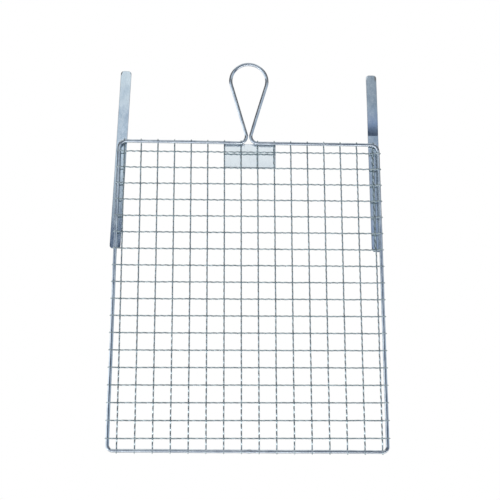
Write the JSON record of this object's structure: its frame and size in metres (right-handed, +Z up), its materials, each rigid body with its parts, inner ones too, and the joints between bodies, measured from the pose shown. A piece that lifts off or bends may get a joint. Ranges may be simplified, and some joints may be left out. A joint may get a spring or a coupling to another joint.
{
  "type": "paint roller grid",
  "caption": "Flat wire mesh grid in a bent wire frame, with a teardrop hanging loop and sheet straps that fold over a bucket's rim.",
  "frame": {"origin": "where a hook bears: the inside of the top of the hanging loop, in the middle plane of the frame wire; the rectangle is centred 0.7 mm to the right of it", "axes": "+Z up the grid towards the hanging loop, +X to the right seen from the front, +Y to the back, where the plate and the straps are"},
  "size_m": [0.2648, 0.0073, 0.3853],
  "materials": {
    "frame_wire": "drawn steel wire, bright zinc-plated",
    "mesh_wire": "crimped thin steel wire, zinc-plated",
    "neck_plate": "smooth steel sheet, bright zinc-plated",
    "strap": "steel strip, zinc-plated, with sheared edges"
  },
  "bodies": {
    "grid": {"frame_wire": "frame_wire", "neck_plate": "neck_plate", "left_strap_leg": "strap", "right_strap_leg": "strap", "column_wire_01": "mesh_wire", "column_wire_02": "mesh_wire", "column_wire_03": "mesh_wire", "column_wire_04": "mesh_wire", "column_wire_05": "mesh_wire", "column_wire_06": "mesh_wire", "column_wire_07": "mesh_wire", "column_wire_08": "mesh_wire", "column_wire_09": "mesh_wire", "column_wire_10": "mesh_wire", "column_wire_11": "mesh_wire", "column_wire_12": "mesh_wire", "column_wire_13": "mesh_wire", "column_wire_14": "mesh_wire", "column_wire_15": "mesh_wire", "column_wire_16": "mesh_wire", "row_wire_01": "mesh_wire", "row_wire_02": "mesh_wire", "row_wire_03": "mesh_wire", "row_wire_04": "mesh_wire", "row_wire_05": "mesh_wire", "row_wire_06": "mesh_wire", "row_wire_07": "mesh_wire", "row_wire_08": "mesh_wire", "row_wire_09": "mesh_wire", "row_wire_10": "mesh_wire", "row_wire_11": "mesh_wire", "row_wire_12": "mesh_wire", "row_wire_13": "mesh_wire", "row_wire_14": "mesh_wire", "row_wire_15": "mesh_wire", "row_wire_16": "mesh_wire", "row_wire_17": "mesh_wire", "row_wire_18": "mesh_wire"},
    "left_tab": {"left_strap_tab": "strap"},
    "right_tab": {"right_strap_tab": "strap"}
  },
  "joints": [
    {"name": "left_tab_fold", "type": "hinge", "parent": "grid", "child": "left_tab", "pos_m": [-0.12378, 0.00555, -0.07039], "axis": [-0.9996, 0, 0.0297], "range_deg": [0, 175]},
    {"name": "right_tab_fold", "type": "hinge", "parent": "grid", "child": "right_tab", "pos_m": [0.12359, 0.00555, -0.07038], "axis": [-0.9999, 0, -0.0105], "range_deg": [0, 175]}
  ]
}
